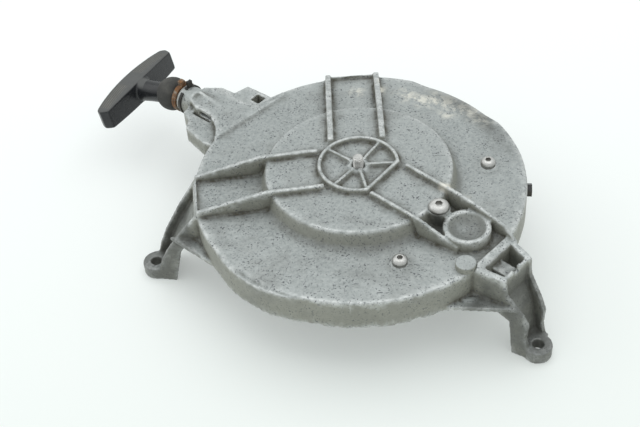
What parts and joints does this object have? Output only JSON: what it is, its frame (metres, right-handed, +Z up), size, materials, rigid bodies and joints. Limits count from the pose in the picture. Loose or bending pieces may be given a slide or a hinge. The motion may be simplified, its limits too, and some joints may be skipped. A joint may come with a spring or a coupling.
{
  "type": "recoil starter",
  "caption": "Cast three-legged recoil starter for a small engine: T-handle, rope outlet, rewinding sheave with mainspring, drive pawls and neutral lock.",
  "frame": {"origin": "on the crankshaft axis, in the plane that the three feet stand on", "axes": "+Z up along the crankshaft axis towards the hub; +X to the right as seen from the front, where the rope outlet is back left; one leg points along 183 degrees, one along 88 and one along 313"},
  "size_m": [0.337, 0.3327, 0.0926],
  "materials": {
    "cast_aluminium": "weathered sand-rough casting",
    "turned_steel": "turned",
    "zinc_steel": "zinc plated, dulled",
    "die_cast_zinc": "as cast",
    "bronze": "plain bearing bronze",
    "spring_steel": "blued",
    "starter_rope": "braided nylon",
    "white_nylon": "moulded",
    "bright_screws": "worn stainless",
    "dark_screw": "blackened steel",
    "rusty_steel": "rusted",
    "black_rubber": "matte",
    "black_plastic": "semi-gloss"
  },
  "bodies": {
    "root": {"housing": "cast_aluminium", "spindle": "turned_steel", "retainer_washer": "turned_steel", "centre_bolt": "zinc_steel", "mainspring": "spring_steel", "spring_anchor_pin": "turned_steel", "spring_shield": "zinc_steel", "rope_ferrule": "rusty_steel", "ferrule_clip": "dark_screw", "keeper_screws": "bright_screws", "rope_keepers": "white_nylon", "hook_screw": "bright_screws", "boss_plug": "cast_aluminium", "rim_screw": "dark_screw", "lock_spring": "spring_steel", "rope_run": "starter_rope"},
    "sheave": {"sheave": "die_cast_zinc", "sheave_bush": "bronze", "rope_wound": "starter_rope", "sheave_knot": "starter_rope", "pawl_pins": "turned_steel", "pawl_clips": "spring_steel", "pawl_springs": "spring_steel"},
    "friction_plate": {"friction_plate": "zinc_steel", "friction_spring": "spring_steel"},
    "pawl_front": {"pawl_front": "turned_steel"},
    "pawl_rear": {"pawl_rear": "turned_steel"},
    "lock_plunger": {"lock_plunger": "turned_steel"},
    "handle": {"grip": "black_plastic", "grip_collar": "black_rubber", "knot_insert": "white_nylon", "handle_knot": "starter_rope"}
  },
  "joints": [
    {"name": "handle_pull", "type": "slide", "parent": "root", "child": "handle", "axis": [-0.7189, 0.6942, -0.0349], "range_m": [0, 1.188], "stiffness_N_per_m": 8, "springref_m": -0.4, "deforming": ["rope_run"]},
    {"name": "sheave_spin", "type": "hinge", "parent": "root", "child": "sheave", "pos_m": [0, 0, 0.06], "axis": [0, 0, 1], "range_deg": [-970, 0], "deforming": ["mainspring"]},
    {"name": "plate_lag", "type": "hinge", "parent": "sheave", "child": "friction_plate", "pos_m": [0, 0, 0.0453], "axis": [0, 0, 1], "range_deg": [0, 25], "stiffness_Nm_per_rad": 0.01, "springref_deg": -11.46, "deforming": ["pawl_springs"]},
    {"name": "pawl_front_swing", "type": "hinge", "parent": "sheave", "child": "pawl_front", "pos_m": [0.038, 0, 0.0505], "axis": [0, 0, 1], "range_deg": [0, 25]},
    {"name": "pawl_rear_swing", "type": "hinge", "parent": "sheave", "child": "pawl_rear", "pos_m": [-0.038, 0, 0.0505], "axis": [0, 0, 1], "range_deg": [0, 25]},
    {"name": "lock_push", "type": "slide", "parent": "root", "child": "lock_plunger", "axis": [-0.682, 0.7314, 0], "range_m": [0, 0.0055], "stiffness_N_per_m": 300, "springref_m": -0.004, "deforming": ["lock_spring"]}
  ],
  "couplings": [
    {"joint": "sheave_spin", "follows": "handle_pull", "rad_per_m": -14.104},
    {"joint": "pawl_front_swing", "follows": "plate_lag", "ratio": 1},
    {"joint": "pawl_rear_swing", "follows": "plate_lag", "ratio": 1}
  ]
}
